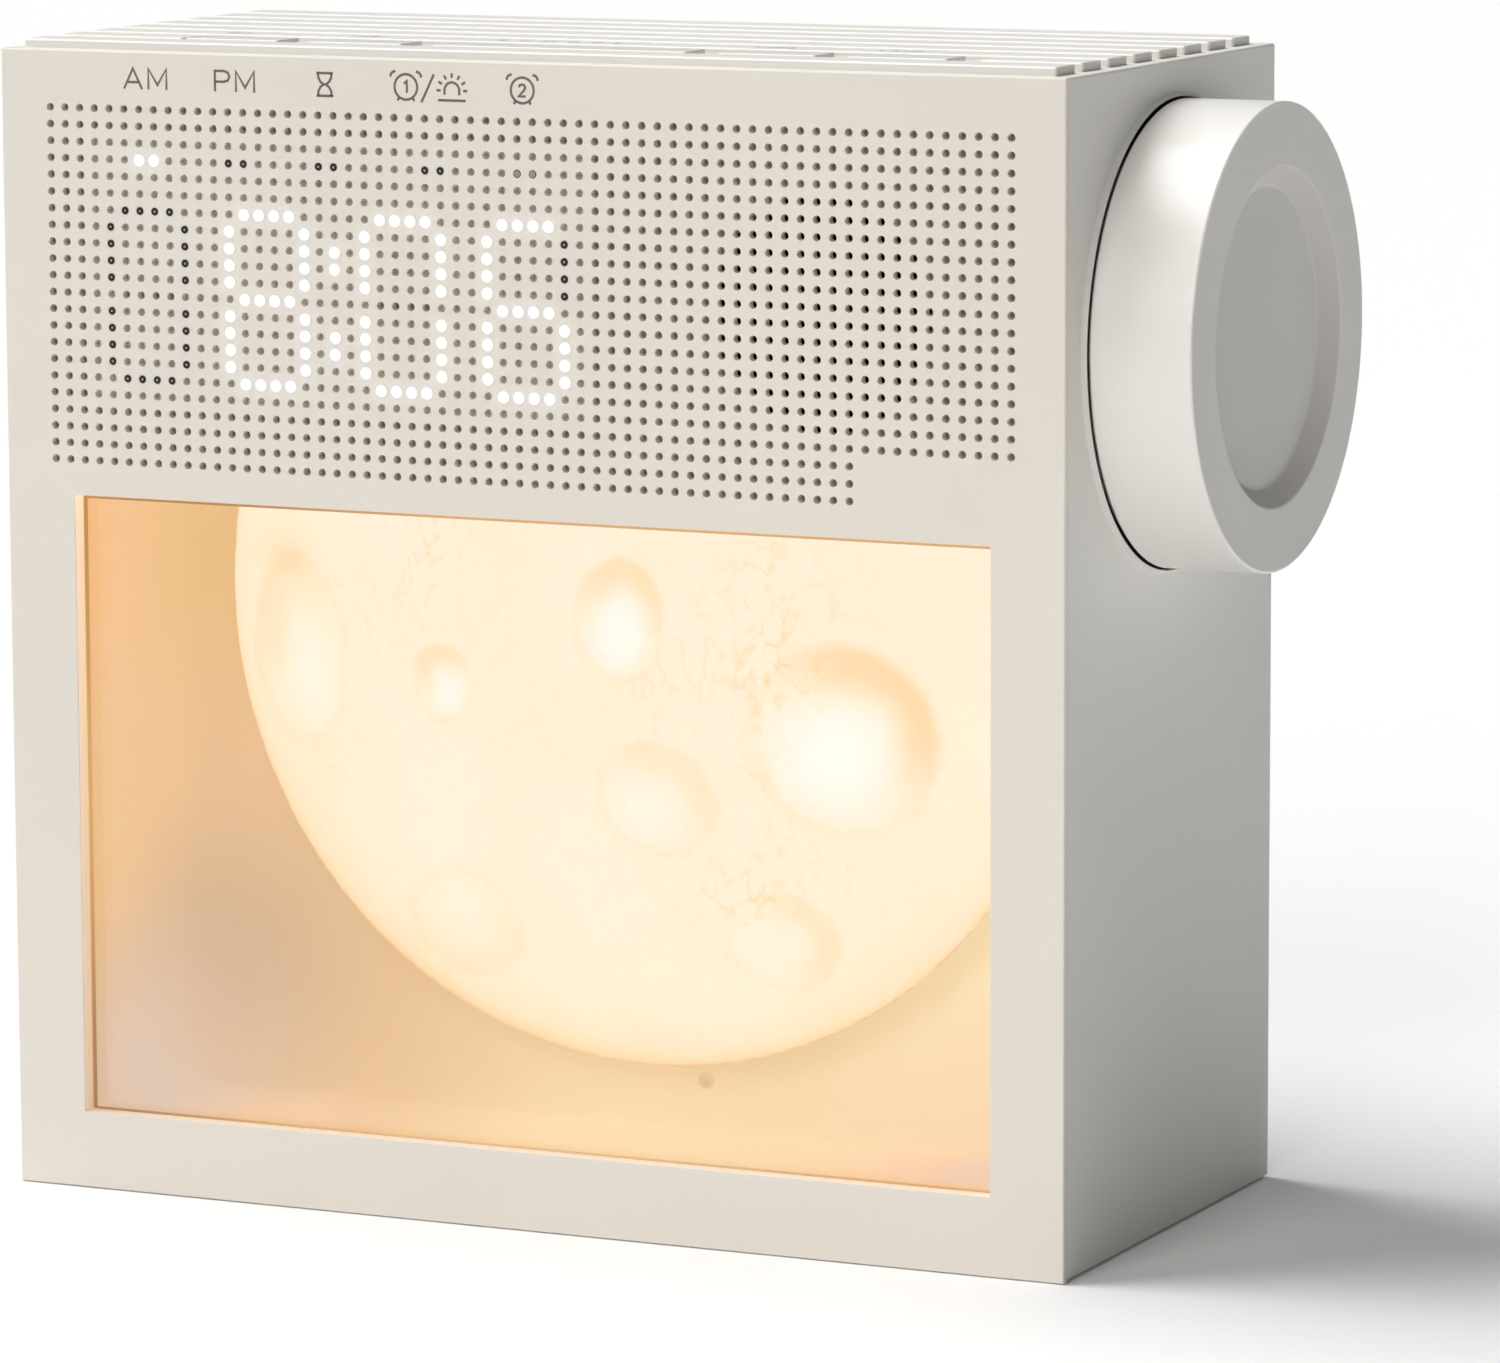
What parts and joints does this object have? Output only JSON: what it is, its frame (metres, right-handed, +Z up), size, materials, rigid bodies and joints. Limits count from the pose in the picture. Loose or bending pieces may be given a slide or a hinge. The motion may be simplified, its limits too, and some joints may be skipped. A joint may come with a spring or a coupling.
{
  "type": "light alarm clock",
  "caption": "Square bedside light alarm clock with a perforated front, a dotted digital display, a lit moon relief behind a window, press keys in the ribbed top and a dished side knob.",
  "frame": {"origin": "centre of the base pad's underside, under the middle of the housing", "axes": "+Z up, the front faces -Y, the knob is on +X"},
  "size_m": [0.1644, 0.07, 0.1514],
  "materials": {
    "shell": "fine matt moulded",
    "keys": "fine matt moulded",
    "knob": "satin moulded",
    "rubber": "matt",
    "pane": "clear, gloss",
    "moon": "translucent, lit from behind",
    "chamber": "pale, lit by the lamp",
    "board": "solder mask",
    "black": "moulded",
    "paper": "pressed pulp",
    "steel": "plated",
    "white": "moulded"
  },
  "bodies": {
    "case": {"housing": "shell", "fascia": "shell", "rear_cover": "shell", "base_pad": "rubber", "speaker_surround": "rubber", "speaker_gasket": "rubber", "window_pane": "pane", "moon_dome": "moon", "light_box": "chamber", "display_board": "board", "key_board": "board", "main_board": "board", "encoder_board": "board", "control_chip": "black", "cell_holder": "black", "key_switch_1": "black", "key_switch_2": "black", "key_switch_3": "black", "key_switch_4": "black", "key_switch_5": "black", "encoder_body": "steel", "encoder_washer": "steel", "encoder_nut": "steel", "usb_socket": "steel", "backup_cell": "steel", "speaker_frame": "steel", "speaker_magnet": "steel", "key_board_screw_1": "steel", "key_board_screw_2": "steel", "main_board_screw_1": "steel", "main_board_screw_2": "steel", "main_board_screw_3": "steel", "main_board_screw_4": "steel", "rear_screw_1": "steel", "rear_screw_2": "steel", "rear_screw_3": "steel", "rear_screw_4": "steel", "moon_led_board": "white", "display_mask": "white"},
    "encoder_rotor": {"encoder_rotor": "white"},
    "knob": {"knob_shell": "knob", "knob_hub": "white", "encoder_shaft": "steel"},
    "speaker_cone": {"speaker_cone": "paper"},
    "key_1": {"top_key_1": "keys", "key_plunger_1": "white"},
    "key_2": {"top_key_2": "keys", "key_plunger_2": "white"},
    "key_3": {"top_key_3": "keys", "key_plunger_3": "white"},
    "key_4": {"top_key_4": "keys", "key_plunger_4": "white"},
    "key_5": {"top_key_5": "keys", "key_plunger_5": "white"}
  },
  "joints": [
    {"name": "knob_turn", "type": "hinge", "parent": "case", "child": "encoder_rotor", "pos_m": [0.082, 0, 0.1158], "axis": [1, 0, 0], "continuous": true},
    {"name": "knob_push", "type": "slide", "parent": "encoder_rotor", "child": "knob", "axis": [-1, 0, 0], "range_m": [0, 0.0005], "stiffness_N_per_m": 2500, "springref_m": -0.0008},
    {"name": "cone_travel", "type": "slide", "parent": "case", "child": "speaker_cone", "axis": [0, -1, 0], "range_m": [-0.0004, 0.0004], "stiffness_N_per_m": 1500},
    {"name": "key_1_press", "type": "slide", "parent": "case", "child": "key_1", "axis": [0, 0, -1], "range_m": [0, 0.0005], "stiffness_N_per_m": 2000, "springref_m": -0.0006},
    {"name": "key_2_press", "type": "slide", "parent": "case", "child": "key_2", "axis": [0, 0, -1], "range_m": [0, 0.0005], "stiffness_N_per_m": 2000, "springref_m": -0.0006},
    {"name": "key_3_press", "type": "slide", "parent": "case", "child": "key_3", "axis": [0, 0, -1], "range_m": [0, 0.0005], "stiffness_N_per_m": 2000, "springref_m": -0.0006},
    {"name": "key_4_press", "type": "slide", "parent": "case", "child": "key_4", "axis": [0, 0, -1], "range_m": [0, 0.0005], "stiffness_N_per_m": 2000, "springref_m": -0.0006},
    {"name": "key_5_press", "type": "slide", "parent": "case", "child": "key_5", "axis": [0, 0, -1], "range_m": [0, 0.0005], "stiffness_N_per_m": 2000, "springref_m": -0.0006}
  ]
}
